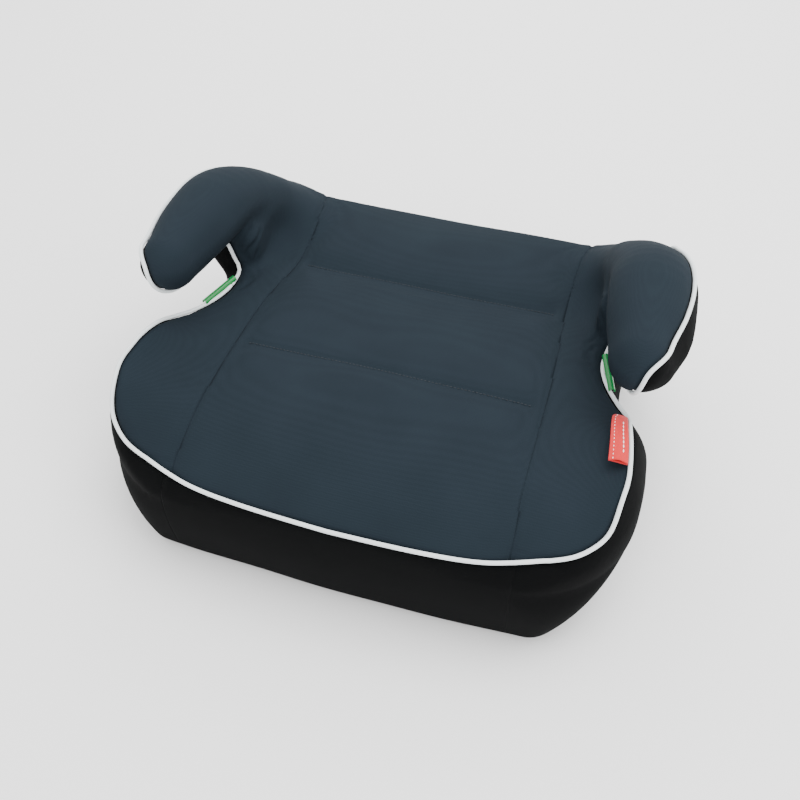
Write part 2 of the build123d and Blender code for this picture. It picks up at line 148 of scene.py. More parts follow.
def side_half(y, z):
    """Half width of the seat body at a height."""
    edge = ramp(y, EDGE_Y, EDGE_HALF)
    edge_z = crown(edge, y) + ramp(y, EDGE_Y, EDGE_LIFT)
    belly = ramp(y, BELLY_Y, BELLY_HALF)
    low = BASE_HALF + (belly - BASE_HALF) * np.sin(
        0.5 * math.pi * np.clip(z / BELLY_HEIGHT, 0, 1)) ** 1.1
    t = np.maximum(z - BELLY_HEIGHT, 0) / np.maximum(edge_z - BELLY_HEIGHT, 12)
    high = belly + (edge - belly) * np.minimum(t, 1.3) ** 3
    return np.where(z < BELLY_HEIGHT, low, high)


def seat_field(x, y, z):
    """Signed field of the seat block: negative inside."""
    level = np.clip(z / 90, 0, 1)
    swell = 8 * np.sin(math.pi * np.clip(z / 120, 0, 1))
    front = -176.5 - swell + 0.5 * x * x / BACK_RADIUS
    back = 174 - 5 * (1 - level) - 0.5 * x * x / BACK_RADIUS
    corner = 18 + 57 * np.clip(z / 72, 0, 1) ** 1.3
    back_corner = 18 + 6 * level
    half = side_half(y, z)
    wall_front = rounded(np.abs(x) - half, front - y, corner)
    wall_back = rounded(np.abs(x) - half, y - back, back_corner)
    wall = np.where(y < 0, wall_front, wall_back)
    top = (z - top_height(x, y)) * 0.95
    body = smooth_max(wall, top, 7)
    return smooth_max(body, 1.0 - z, 9)


def rounded(a, b, radius):
    """Field of the corner between two faces, rounded to a radius."""
    a = a + radius
    b = b + radius
    outside = np.hypot(np.maximum(a, 0), np.maximum(b, 0))
    return outside + np.minimum(np.maximum(a, b), 0) - radius


def capsule(x, y, z, a, b):
    """Round cone between two spheres given as x, y, z, radius."""
    ax, ay, az, ar = a
    dx, dy, dz = b[0] - ax, b[1] - ay, b[2] - az
    px, py, pz = x - ax, y - ay, z - az
    t = np.clip((px * dx + py * dy + pz * dz) / (dx * dx + dy * dy + dz * dz), 0, 1)
    gap = np.sqrt((px - t * dx) ** 2 + (py - t * dy) ** 2 + (pz - t * dz) ** 2)
    return gap - (ar + t * (b[3] - ar))


def chain(spheres, count):
    """More spheres on a smooth line through the given ones."""
    spheres = np.array(spheres, float)
    run = np.concatenate([[0], np.cumsum(np.linalg.norm(np.diff(spheres[:, :3], axis=0), axis=1))])
    at = np.linspace(0, run[-1], count)
    return [tuple(float(ramp(v, run, column)) for column in spheres.T) for v in at]


LOBE_CHAIN = chain([(0,) + sphere for sphere in ARM_LOBE], 22)
CHEEK_CHAIN = chain(ARM_CHEEK, 12)


def chained(x, y, z, spheres):
    field = capsule(x, y, z, spheres[0], spheres[1])
    for a, b in zip(spheres[1:], spheres[2:]):
        field = np.minimum(field, capsule(x, y, z, a, b))
    return field


def arm_field(x, y, z):
    """Signed field of an arm: the lobe, its cheek and the wall behind the slot."""
    side = np.abs(x)
    squeezed = (side - ramp(y, ARM_Y, ARM_MIDDLE)) / ramp(y, ARM_Y, ARM_STRETCH)
    lobe = smooth_min(chained(squeezed, y, z, LOBE_CHAIN), chained(side, y, z, CHEEK_CHAIN), 9)
    outer = WALL_OUTER - 0.55 * np.maximum(160 - z, 0) - 0.1 * np.maximum(y - 90, 0)
    faces = np.stack([side - outer, WALL_INNER - side, WALL_FRONT - y,
                      y - WALL_BACK + 0.75 * np.maximum(z - 118, 0), z - WALL_TOP,
                      WALL_FOOT - z])
    wall = faces + WALL_EDGE
    wall = (np.linalg.norm(np.maximum(wall, 0), axis=0) + np.minimum(wall.max(axis=0), 0)
            - WALL_EDGE)
    return smooth_min(lobe, wall, 8)


def shoulder(x, y, z):
    """How wide the seat and the arm blend: most at the rear, inside the arm."""
    inside = smooth_step(-np.abs(x), -196, -170)
    rear = smooth_step(y, 45, 115) * inside * smooth_step(-y, -178, -164)
    return NARROW_BLEND + WIDE_BLEND * rear * smooth_step(z, 96, 112)


def skin_field(x, y, z):
    return smooth_min(seat_field(x, y, z), arm_field(x, y, z), shoulder(x, y, z))


def surface_net(field, low, high, cell):
    """Quad mesh of a field's zero surface: points and quads, pointing outwards."""
    axes = [np.arange(a, b + cell, cell) for a, b in zip(low, high)]
    value = field(*np.meshgrid(*axes, indexing="ij"))
    inside = value < 0
    counts = np.array(value.shape)
    total = np.zeros(tuple(counts - 1) + (3,))
    hits = np.zeros(tuple(counts - 1))
    corners = [(i, j, k) for i in (0, 1) for j in (0, 1) for k in (0, 1)]
    n = counts - 1

    def at(array, corner):
        i, j, k = corner
        return array[i:n[0] + i, j:n[1] + j, k:n[2] + k]

    for p in corners:
        for axis in range(3):
            if p[axis]:
                continue
            q = list(p)
            q[axis] = 1
            a = at(value, p)
            b = at(value, q)
            cross = (a < 0) != (b < 0)
            t = np.where(cross, a / np.where(cross, a - b, 1), 0)
            for k in range(3):
                total[..., k] += np.where(cross, p[k] + (t if k == axis else 0), 0)
            hits += cross
    used = hits > 0
    index = -np.ones(used.shape, int)
    index[used] = np.arange(used.sum())
    cells = np.argwhere(used)
    points = (cells + total[used] / hits[used][:, None]) * cell + np.array(low)
    quads = []
    for axis in range(3):
        u, v = [k for k in range(3) if k != axis]
        shift = [0, 0, 0]
        shift[axis] = 1
        a = inside[:-1 if shift[0] else None, :-1 if shift[1] else None,
                   :-1 if shift[2] else None]
        b = inside[shift[0]:, shift[1]:, shift[2]:]
        spots = np.argwhere(a != b)
        spots = spots[(spots[:, u] > 0) & (spots[:, v] > 0)
                      & (spots[:, u] < n[u]) & (spots[:, v] < n[v])]
        ring = []
        for du, dv in ((0, 0), (1, 0), (1, 1), (0, 1)):
            at_cell = spots.copy()
            at_cell[:, u] -= du
            at_cell[:, v] -= dv
            ring.append(index[tuple(at_cell.T)])
        quad = np.stack(ring, axis=1)
        outward = a[tuple(spots.T)]
        if axis == 1:
            outward = ~outward
        quad[~outward] = quad[~outward][:, ::-1]
        quads.append(quad)
    return points, np.concatenate(quads)


def gradient(field, p, step=0.5):
    g = np.empty_like(p)
    for k in range(3):
        ahead = p.copy()
        behind = p.copy()
        ahead[:, k] += step
        behind[:, k] -= step
        g[:, k] = (field(*ahead.T) - field(*behind.T)) / (2 * step)
    return g


def settle(field, p, rounds=4, most=3.0):
    """Moves points onto the field's zero surface."""
    for _ in range(rounds):
        g = gradient(field, p)
        value = field(*p.T)
        move = -value[:, None] * g / np.maximum((g * g).sum(axis=1), 0.05)[:, None]
        length = np.linalg.norm(move, axis=1, keepdims=True)
        p = p + move * np.minimum(1, most / np.maximum(length, 1e-9))
    return p


# ==== seams
PIPING_PATH = (            # right half of the piping, from the middle of the front edge
    (0, -182, 95), (67, -179, 95), (105, -175, 95), (132, -168, 95), (156, -160, 97),
    (178, -153, 103), (194, -143.5, 112.5), (199, -137.5, 119.5), (200, -131, 125),
    (200, -123, 131), (200, -113, 135), (200, -101.5, 137), (199, -89, 139),
    (197, -74, 140), (194, -55, 136), (191, -37, 127), (182.5, -22.5, 123),
    (173, -9, 121), (167, 3, 122), (164, 15, 123), (164, 25, 123), (166, 33, 125),
    (169, 36, 131), (171, 32, 140), (172, 23, 147), (172, 12, 151), (173, 2, 152),
    (176, -7, 152), (180, -16, 152), (185, -28, 155), (189, -37, 161), (192, -43, 169),
    (194, -46, 178), (196, -44, 186), (199, -36, 188.5), (204, -26, 189.5),
    (209, -14, 191), (213, 0, 191), (215, 20, 189), (215.5, 41, 187), (214.5, 58, 186.5),
    (212, 74, 185), (209.5, 88, 182), (206, 97, 179), (203, 110, 173), (199, 128, 162),
    (194, 146, 148), (187, 160, 135), (178, 168, 125), (165, 174, 116), (150, 175, 114),
    (100, 176, 112), (50, 176, 112), (0, 176, 112),
)
SEAM_Y = (-190, -164, -141, -119, -102, -49, 6, 78, 136, 163, 190)
SEAM_X = (134, 132.7, 131, 129.8, 129.5, 128.8, 127.5, 122.5, 123.5, 128, 130)
CREASES = (                # folds at the root of the arm, with their depth
    (((150, 62, 152), (152, 44, 143), (153, 28, 134), (154, 16, 127)), 1.7),
    (((156, 56, 158), (157, 40, 149), (158, 27, 139)), 1.3),
    (((145, 50, 136), (147, 34, 128), (150, 20, 125)), 1.0),
)
CROSS_SEAMS = ((-44, 1.5), (74, -2.5))     # distance along the seat, bow in the middle
BOW_HALF = 125             # from the middle to where a cross seam's bow ends
SEAM_END = 142             # the side seams' grooves stay this near the middle
REACH = 14.0               # how far from the piping the skin's distance to it counts
CREASE_REACH = 9.0


def spline(points, spacing):
    """Points at an even spacing on a smooth curve through the given ones."""
    p = np.asarray(points, float)
    p = np.vstack([2 * p[0] - p[1], p, 2 * p[-1] - p[-2]])
    t = np.linspace(0, 1, 24, endpoint=False)[:, None]
    out = []
    for a, b, c, d in zip(p, p[1:], p[2:], p[3:]):
        out.append(0.5 * (2 * b + (c - a) * t + (2 * a - 5 * b + 4 * c - d) * t * t
                          + (3 * b - a - 3 * c + d) * t ** 3))
    out = np.vstack(out + [p[-2:-1]])
    return evenly(out, spacing)


def evenly(line, spacing):
    run = np.concatenate([[0], np.cumsum(np.linalg.norm(np.diff(line, axis=0), axis=1))])
    count = max(int(round(run[-1] / spacing)), 2)
    at = np.linspace(0, run[-1], count + 1)
    return np.stack([np.interp(at, run, line[:, k]) for k in range(3)], axis=1)


def unit(v):
    return v / np.maximum(np.linalg.norm(v, axis=-1, keepdims=True), 1e-9)


def on_skin(line, rounds=3):
    """Lays a line on the skin and evens it out."""
    for _ in range(rounds):
        line = settle(skin_field, line, rounds=3)
        inner = line[1:-1] * 0.5 + (line[:-2] + line[2:]) * 0.25
        line = np.vstack([line[:1], inner, line[-1:]])
    return settle(skin_field, line, rounds=3)


def flipped(line):
    return line * np.array([-1, 1, 1])


def lateral(points, line, reach):
    """Signed distance of points from a line on the skin, positive to its left. Points
    beyond reach get reach."""
    step = np.diff(line, axis=0)
    length = np.linalg.norm(step, axis=1)
    normal = unit(gradient(skin_field, line[:-1] + step / 2))
    left = unit(np.cross(normal, step))
    signed = np.full(len(points), float(reach))
    low = line.min(axis=0) - reach
    high = line.max(axis=0) + reach
    near = np.flatnonzero(((points > low) & (points < high)).all(axis=1))
    for chunk in np.array_split(near, max(1, len(near) // 3000)):
        q = points[chunk][:, None] - line[None, :-1]
        t = np.clip((q * step).sum(axis=2) / (length ** 2), 0, 1)
        gap = q - t[..., None] * step
        distance = np.linalg.norm(gap, axis=2)
        best = distance.argmin(axis=1)
        rows = np.arange(len(chunk))
        d = distance[rows, best]
        side = (gap[rows, best] * left[best]).sum(axis=1)
        hit = d < reach
        signed[chunk[hit]] = (np.sign(side) * d)[hit]
    return signed


def cut(data, tris, s, valid=None):
    """Splits triangles where s changes sign. data holds x, y, z and more for each point.
    Returns the new data, triangles, and the sign of each triangle (0 where not valid)."""
    s = np.where(np.abs(s) < 1e-4, 1e-4, s)
    valid = np.ones(len(s), bool) if valid is None else valid
    ok = valid[tris].all(axis=1)
    positive = s[tris] > 0
    crossing = ok & (positive.any(axis=1) & ~positive.all(axis=1))
    kept = tris[~crossing]
    kept_sign = np.where(ok[~crossing], np.where(positive[~crossing][:, 0], 1, -1), 0)
    work = tris[crossing]
    plus = positive[crossing]
    alone = np.where(plus.sum(axis=1) == 1, plus.argmax(axis=1), (~plus).argmax(axis=1))
    rows = np.arange(len(work))
    a, b, c = (work[rows, (alone + k) % 3] for k in range(3))
    pairs = np.concatenate([np.stack([a, b], axis=1), np.stack([a, c], axis=1)])
    pairs = np.sort(pairs, axis=1)
    _, first, where = np.unique(pairs[:, 0] * len(data) + pairs[:, 1],
                                return_index=True, return_inverse=True)
    where = where.ravel()
    u, v = pairs[first].T
    t = (s[u] / (s[u] - s[v]))[:, None]
    data = np.vstack([data, data[u] * (1 - t) + data[v] * t])
    made = len(s) + where
    ab, ac = made[:len(work)], made[len(work):]
    sign = np.where(s[a] > 0, 1, -1)
    new = np.concatenate([np.stack([a, ab, ac], axis=1), np.stack([ab, b, c], axis=1),
                          np.stack([ab, c, ac], axis=1)])
    return data, np.concatenate([kept, new]), np.concatenate([kept_sign, sign, -sign, -sign])


def islands(tris, side):
    """Number of the connected region of each triangle; opposite sides never connect."""
    edges = np.sort(np.concatenate([tris[:, [0, 1]], tris[:, [1, 2]], tris[:, [2, 0]]]), axis=1)
    owner = np.tile(np.arange(len(tris)), 3)
    order = np.lexsort((edges[:, 1], edges[:, 0]))
    edges, owner = edges[order], owner[order]
    same = (edges[1:] == edges[:-1]).all(axis=1)
    a, b = owner[:-1][same], owner[1:][same]
    free = side[a] * side[b] >= 0
    a, b = a[free], b[free]
    label = np.arange(len(tris))
    while True:
        low = np.minimum(label[a], label[b])
        new = label.copy()
        np.minimum.at(new, a, low)
        np.minimum.at(new, b, low)
        new = new[new]
        new = new[new]
        if (new == label).all():
            return label
        label = new


def bell(s, width):
    return np.exp(-(s / width) ** 2)


def placed(name, data):
    piece = bpy.data.objects.new(name, data)
    bpy.context.scene.collection.objects.link(piece)
    return piece


# ==== the padding's swell, by cloth simulation on a coarser skin
def swelling(held, cell=6.0, most=3.0):
    """How far the padded cover swells between its seams, as a function of place."""
    coarse, faces = surface_net(skin_field, SKIN_LOW, SKIN_HIGH, cell)
    coarse = settle(skin_field, coarse)
    normal = unit(gradient(skin_field, coarse))
    grip = held(coarse, normal)
    start = coarse - normal * (1.2 * (1 - grip))[:, None]
    mesh = bpy.data.meshes.new("swell")
    mesh.from_pydata((start * MM).tolist(), [], faces.tolist())
    pad = placed("swell", mesh)
    pins = pad.vertex_groups.new(name="pins")
    for i, weight in enumerate(grip):
        if weight > 0.02:
            pins.add([i], float(weight), "REPLACE")
    cloth = pad.modifiers.new("cloth", "CLOTH")
    cloth.settings.quality = 4
    cloth.settings.mass = 0.3
    cloth.settings.tension_stiffness = 12
    cloth.settings.compression_stiffness = 12
    cloth.settings.bending_stiffness = 2
    cloth.settings.use_pressure = True
    cloth.settings.uniform_pressure_force = 4
    cloth.settings.vertex_group_mass = "pins"
    cloth.settings.effector_weights.gravity = 0
    cloth.collision_settings.use_collision = False
    cloth.point_cache.frame_start, cloth.point_cache.frame_end = 1, 20
    for frame_number in range(1, 21):
        bpy.context.scene.frame_set(frame_number)
    solved = pad.evaluated_get(bpy.context.evaluated_depsgraph_get()).to_mesh()
    moved = np.array([v.co for v in solved.vertices]) / MM - coarse
    bpy.data.objects.remove(pad)
    bpy.context.scene.frame_set(1)
    out = np.clip((moved * normal).sum(axis=1), -most, most)
    tree = BVHTree.FromPolygons(coarse.tolist(), faces.tolist())

    def at(places):
        value = np.zeros(len(places))
        for i, place in enumerate(places):
            hit, _, face, _ = tree.find_nearest(Vector(place))
            if face is None:
                continue
            ring = faces[face]
            gap = np.linalg.norm(coarse[ring] - np.array(hit), axis=1)
            share = 1 / np.maximum(gap, 0.3) ** 2
            value[i] = (out[ring] * share).sum() / share.sum()
        return value
    return at


# ==== objects
def mesh_object(name, points, faces, smooth=True):
    """Object of that name from points in millimetres."""
    used, index = np.unique(np.asarray(faces).ravel(), return_inverse=True)
    faces = index.reshape(np.asarray(faces).shape)
    mesh = bpy.data.meshes.new(name)
    places = np.asarray(points)[used][:, :3] + SHIFT
    mesh.from_pydata((places * MM).tolist(), [], faces.tolist())
    mesh.validate()
    if smooth:
        mesh.shade_smooth()
    return placed(name, mesh)


def tube(name, line, radius, sides=12):
    """Closed round tube along a line, with rounded ends."""
    tangent = unit(np.gradient(line, axis=0))
    up = unit(gradient(skin_field, line))
    across = unit(np.cross(tangent, up))
    up = np.cross(across, tangent)
    turn = np.linspace(0, 2 * math.pi, sides, endpoint=False)
    rings = []
    ends = ((0, -0.55, 0.6), (0, -0.2, 0.9))
    stations = [(0, e[1], e[2]) for e in ends] + [(i, 0, 1) for i in range(len(line))]
    stations += [(len(line) - 1, -e[1], e[2]) for e in reversed(ends)]
    for i, push, size in stations:
        middle = line[i] + tangent[i] * push * radius
        ring = middle + radius * size * (np.cos(turn)[:, None] * across[i]
                                         + np.sin(turn)[:, None] * up[i])
        rings.append(ring)
    points = np.vstack(rings + [line[:1] - tangent[:1] * radius * 0.7,
                                line[-1:] + tangent[-1:] * radius * 0.7])
    faces = []
    count = len(rings)
    k = np.arange(sides)
    nxt = (k + 1) % sides
    for i in range(count - 1):
        faces += np.stack([i * sides + k, i * sides + nxt,
                           (i + 1) * sides + nxt, (i + 1) * sides + k], axis=1).tolist()
    start, end = count * sides, count * sides + 1
    faces += [[start, int(n), int(m)] for m, n in zip(k, nxt)]
    last = (count - 1) * sides
    faces += [[end, last + int(m), last + int(n)] for m, n in zip(k, nxt)]
    mesh = bpy.data.meshes.new(name)
    mesh.from_pydata(((points + SHIFT) * MM).tolist(), [], faces)
    mesh.shade_smooth()
    return placed(name, mesh)


# ==== materials
class Nodes:
    """Short way to write a material's node tree."""

    def __init__(self, name):
        self.material = bpy.data.materials.new(name)
        self.material.use_nodes = True
        self.tree = self.material.node_tree
        self.shader = self.tree.nodes["Principled BSDF"]
        self.place = self.add("ShaderNodeTexCoord").outputs["Object"]

    def add(self, kind, inputs=None, **facts):
        node = self.tree.nodes.new(kind)
        for key, value in facts.items():
            setattr(node, key, value)
        for key, value in (inputs or {}).items():
            if isinstance(value, bpy.types.NodeSocket):
                self.tree.links.new(value, node.inputs[key])
            else:
                node.inputs[key].default_value = value
        return node

    def math(self, operation, a, b=0.0):
        return self.add("ShaderNodeMath", {0: a, 1: b}, operation=operation).outputs[0]

    def noise(self, scale, detail=2.0):
        node = self.add("ShaderNodeTexNoise",
                        {"Vector": self.place, "Scale": scale, "Detail": detail})
        return node.outputs[0]

    def axis(self, k):
        return self.add("ShaderNodeSeparateXYZ", {0: self.place}).outputs[k]

    def set(self, **values):
        for key, value in values.items():
            self.shader.inputs[key.replace("_", " ")].default_value = value
        return self

    def feed(self, socket, output):
        self.tree.links.new(output, self.shader.inputs[socket])
        return self

    def bump(self, height, distance, strength=1.0):
        node = self.add("ShaderNodeBump",
                        {"Height": height, "Distance": distance, "Strength": strength})
        return self.feed("Normal", node.outputs[0])

    def mix(self, amount, a, b):
        node = self.add("ShaderNodeMix", data_type="RGBA")
        sockets = [s for s in node.inputs if s.enabled]
        self.tree.links.new(amount, sockets[0])
        sockets[1].default_value = a
        sockets[2].default_value = b
        return [s for s in node.outputs if s.enabled][0]


def linear(r, g, b):
    """Linear colour from the usual 0 to 255 values."""
    def one(v):
        v /= 255
        return v / 12.92 if v < 0.04045 else ((v + 0.055) / 1.055) ** 2.4
    return (one(r), one(g), one(b), 1.0)


def woven(name, dark, light, pitch, depth, roughness, sheen, gleam=0.08):
    """Cloth with fine rows and columns of loops."""
    m = Nodes(name)
    rate = 2 * math.pi / (pitch * MM)
    wobble = m.math("MULTIPLY", m.noise(260.0), 3.0)
    total = None
    for k, share in ((0, 1.0), (1, 0.8), (2, 1.0)):
        wave = m.math("SINE", m.math("ADD", m.math("MULTIPLY", m.axis(k), rate * share), wobble))
        total = wave if total is None else m.math("ADD", total, wave)
    fine = m.math("ADD", m.math("MULTIPLY", total, 0.16), 0.5)
    fuzz = m.math("ADD", m.math("MULTIPLY", m.noise(2400.0, 3.0), 0.5),
                  m.math("MULTIPLY", fine, 0.5))
    cloudy = m.math("ADD", m.math("MULTIPLY", fuzz, 0.6), m.math("MULTIPLY", m.noise(22.0), 0.4))
    m.feed("Base Color", m.mix(cloudy, dark, light))
    m.bump(fuzz, depth * MM)
    m.set(Roughness=roughness, Sheen_Weight=sheen, Sheen_Roughness=0.45)
    m.set(Specular_IOR_Level=gleam)
    return m.material


def plain(name, colour, roughness, metallic=0.0, grain=None):
    m = Nodes(name)
    m.set(Base_Color=colour, Roughness=roughness, Metallic=metallic)
    if grain:
        scale, depth = grain
        m.bump(m.noise(scale, 3.0), depth * MM)
    return m.material


GREY = woven("grey_knit", linear(20, 27, 33), linear(32, 41, 48), 1.15, 0.10, 0.9, 0.0)
BLACK = woven("black_fabric", linear(3, 3.5, 4), linear(7, 8, 8.5), 0.9, 0.10, 0.95, 0.0)
WHITE = woven("white_piping", linear(196, 204, 206), linear(238, 242, 242), 0.8, 0.12, 0.7, 0.1)
GREEN = plain("green_plastic", linear(6, 118, 52), 0.3, grain=(120.0, 0.03))
FOAM = plain("foam", linear(214, 206, 184), 0.95, grain=(1400.0, 0.25))
BODY = plain("body_plastic", linear(38, 39, 41), 0.48, grain=(900.0, 0.05))
STEEL = plain("screw_steel", linear(176, 178, 180), 0.32, 1.0)
ELASTIC = woven("elastic", linear(18, 18, 19), linear(44, 44, 46), 1.0, 0.1, 0.85, 0.05)
THREAD = plain("thread", linear(24, 31, 38), 0.8)
TAG_WHITE = plain("tag_thread", linear(238, 236, 232), 0.8)


def tag_material():
    m = Nodes("red_tag")
    ribs = m.math("SINE", m.math("MULTIPLY", m.axis(1), 2 * math.pi / (0.9 * MM)))
    body = m.math("ADD", m.math("MULTIPLY", ribs, 0.25),
                  m.math("MULTIPLY", m.noise(1500.0), 0.75))
    m.feed("Base Color", m.mix(body, linear(176, 4, 10), linear(226, 20, 22)))
    m.bump(body, 0.1 * MM)
    m.set(Roughness=0.75, Sheen_Weight=0.1)
    return m.material


RED = tag_material()


def dressed(piece, material, body="seat", stands_for=()):
    piece.data.materials.clear()
    piece.data.materials.append(material)
    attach(piece, body)
    if stands_for:
        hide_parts(*stands_for)
    return piece


# ==== skin
def seam_offset(x, y):
    return np.abs(x) - ramp(y, SEAM_Y, SEAM_X)


def cross_offset(x, y):
    """Signed distance from the nearest cross seam, for the middle panel."""
    near = [y - at - bow * (1 - (x / BOW_HALF) ** 2) for at, bow in CROSS_SEAMS]
    pick = np.abs(near[0]) < np.abs(near[1])
    return np.where(pick, near[0], near[1])


def base_outline(x, y):
    """Signed distance inside the outline at the floor."""
    return -seat_field(x, y, np.full_like(x, 14.0)) - 1.0


def held_places(places, facing):
    """How firmly the cover is held, from 0 to 1: at its seams and on its walls."""
    near = lateral(places, loop, REACH)
    across, behind = seam_offset(*places.T[:2]), cross_offset(*places.T[:2])
    hold = np.maximum(bell(near, 6.0), bell(across, 6.0) * (np.abs(places[:, 0]) < SEAM_END))
    hold = np.maximum(hold, bell(behind, 6.0) * smooth_step(-across, 5, 11))
    return np.maximum(hold, 1 - smooth_step(facing[:, 2], 0.0, 0.4))


half_loop = spline(PIPING_PATH, 2.5)
half_loop = on_skin(half_loop)
half_loop[0, 0] = half_loop[-1, 0] = 0.0
loop = np.vstack([half_loop, flipped(half_loop)[::-1][1:]])

points, quads = surface_net(skin_field, SKIN_LOW, SKIN_HIGH, GRID)
points = settle(skin_field, points)
normals = unit(gradient(skin_field, points))
signed = lateral(points, loop, REACH)
x, y, z = points.T

on_top = smooth_step(normals[:, 2], 0.2, 0.5) * (z > 90) * (signed > -3)
off_side = seam_offset(x, y)
off_cross = cross_offset(x, y)
in_centre = smooth_step(-off_side, 5, 11)
pucker = np.sin(2 * math.pi * x / 6.5 + 1.3 * np.sin(x / 11)) * 0.28

creases = np.zeros(len(points))
for line, deep in CREASES:
    for way in (np.array(line, float), flipped(np.array(line, float))):
        way = on_skin(spline(way, 3.0), 1)
        off = lateral(points, way, CREASE_REACH)
        creases += deep * bell(off, 1.5) - 0.35 * deep * bell(np.abs(off) - 4.0, 2.4)
depth = creases + 1.5 * bell(signed, 2.1) + 0.8 * bell(signed, 6.0)
side_seam = (1.5 * bell(off_side, 2.0) + 1.3 * bell(off_side, 9.0)) * on_top
side_seam = side_seam * (np.abs(x) < SEAM_END)
cross_seam = (1.7 * bell(off_cross, 2.4) + 1.3 * bell(off_cross, 11.0)
              + pucker * bell(off_cross, 6.0)) * in_centre * on_top
skirt_seam = 1.0 * bell(np.abs(x) - SKIRT_SEAM, 1.8) * (signed < 0) * (np.abs(y) > 120)
swell = 0.25 * (np.sin(x / 17 + 0.7 * np.sin(y / 23)) * np.sin(y / 19 + 1.1)
                + np.sin(x / 31 - y / 27 + z / 21))
swell = swell + swelling(held_places)(points)
points = points + normals * (swell - depth - side_seam - cross_seam - skirt_seam)[:, None]

# Cutting: along the piping first, then each side by its own seams
tris = np.concatenate([quads[:, [0, 1, 2]], quads[:, [0, 2, 3]]])
data = np.column_stack([points, signed])
data, tris, side = cut(data, tris, data[:, 3], np.abs(data[:, 3]) < 10)
label = islands(tris, side)
found, count = np.unique(label, return_counts=True)
big = found[np.argsort(count)[::-1][:2]]
middle = data[tris].mean(axis=1)
top = label[np.argmin(np.linalg.norm(middle[:, :3] - np.array([0, -60, 125]), axis=1))]
low = [b for b in big if b != top][0]
loose = ~np.isin(label, (top, low))
grey_tris = tris[(label == top) | (loose & (side > 0))]
black_tris = tris[(label == low) | (loose & (side <= 0))]


def parted(data, tris, s):
    """The triangles where s is above zero, and the rest."""
    data, tris, sign = cut(data, tris, s)
    return data, tris[sign > 0], tris[sign < 0]


def panel(name, data, faces, material):
    piece = mesh_object(name, data, faces)
    wall = piece.modifiers.new("thickness", "SOLIDIFY")
    wall.thickness = COVER * MM
    wall.offset = -1.0
    wall.use_rim = True
    return dressed(piece, material, stands_for=(name,))


d, right, rest = parted(data, grey_tris, data[:, 0] - ramp(data[:, 1], SEAM_Y, SEAM_X))
panel("cover_right_panel", d, right, GREY)
d, left, centre = parted(d, rest, -d[:, 0] - ramp(d[:, 1], SEAM_Y, SEAM_X))
panel("cover_left_panel", d, left, GREY)
panel("cover_centre_panel", d, centre, GREY)
d_grey = d

mouth = np.where(data[:, 2] < 8, HEM - base_outline(data[:, 0], data[:, 1]), HEM)
d, shown, _ = parted(data, black_tris, mouth)
d, right, rest = parted(d, shown, d[:, 0] - SKIRT_SEAM)
panel("skirt_right", d, right, BLACK)
d, left, rest = parted(d, rest, -d[:, 0] - SKIRT_SEAM)
panel("skirt_left", d, left, BLACK)
d, back, front = parted(d, rest, d[:, 1])
panel("skirt_back", d, back, BLACK)
panel("skirt_front", d, front, BLACK)

# ==== piping
loop_normal = unit(gradient(skin_field, loop))
cord = loop + loop_normal * (PIPING / 2 - 0.9)
entry = int(np.argmin(np.linalg.norm(half_loop - np.array([164, 22, 123.0]), axis=1)))
corner = int(np.argmin(np.linalg.norm(half_loop - np.array([172, 171, 124.0]), axis=1)))
count = len(cord)
front = np.vstack([cord[count - entry:-1], cord[:entry + 1]])
right = cord[entry:corner + 1]
for name, line in (("piping_front", front), ("piping_right", right),
                   ("piping_left", flipped(right)), ("piping_back", cord[corner:count - corner])):
    dressed(tube(name, line, PIPING / 2), WHITE, stands_for=(name,))

# ==== tag: a woven band folded double, its open ends sewn in beside the piping
def tag_sheet():
    rows = half_loop
    rows = rows[(rows[:, 1] > -93) & (rows[:, 1] < -41) & (rows[:, 2] > 120) & (rows[:, 2] < 145)]
    rows = evenly(rows[::-1], 1.6)
    up = unit(gradient(skin_field, rows))
    inward = unit(np.cross(np.gradient(rows, axis=0), up))
    t = np.linspace(0, 1, len(rows))
    round_end = np.sqrt(np.clip(1 - (1 - np.clip(t / 0.16, 0, 1)) ** 2, 0.12, 1))
    width = (11.5 + 2.0 * t) * round_end
    gape = 0.5 + 3.2 * smooth_step(t, 0.45, 1.0)
    lower = [(0.02 + 0.98 * u, 0.45 + 0.5 * u) for u in np.linspace(0, 1, 9)]
    bend = [(1.0 + 0.06 * math.sin(a), 1.0 - 0.45 * math.cos(a)) for a in np.linspace(0.5, 2.6, 5)]
    upper = [(u, 1.55 - 0.1 * u) for u in np.linspace(0.98, 0.02, 10)]
    points = []
    for i in range(len(rows)):
        start = rows[i] + inward[i] * 1.9 + up[i] * 0.6
        for k, (u, h) in enumerate(lower + bend + upper):
            lift = h
            if k >= len(lower):
                lift += gape[i] * math.sin(math.pi * min(max(u, 0), 1)) * (0.4 + 0.6 * u)
            points.append(start + inward[i] * width[i] * u + up[i] * lift)
    m = len(lower + bend + upper)
    quads = [(i * m + k, i * m + k + 1, (i + 1) * m + k + 1, (i + 1) * m + k)
             for i in range(len(rows) - 1) for k in range(m - 1)]
    return np.array(points), np.array(quads), m


tag_points, tag_quads, tag_row = tag_sheet()
tag = mesh_object("tag_band", tag_points, tag_quads)
wall = tag.modifiers.new("thickness", "SOLIDIFY")
wall.thickness = 0.45 * MM
wall.offset = 0.0
dressed(tag, RED, body="tag", stands_for=("tag",))


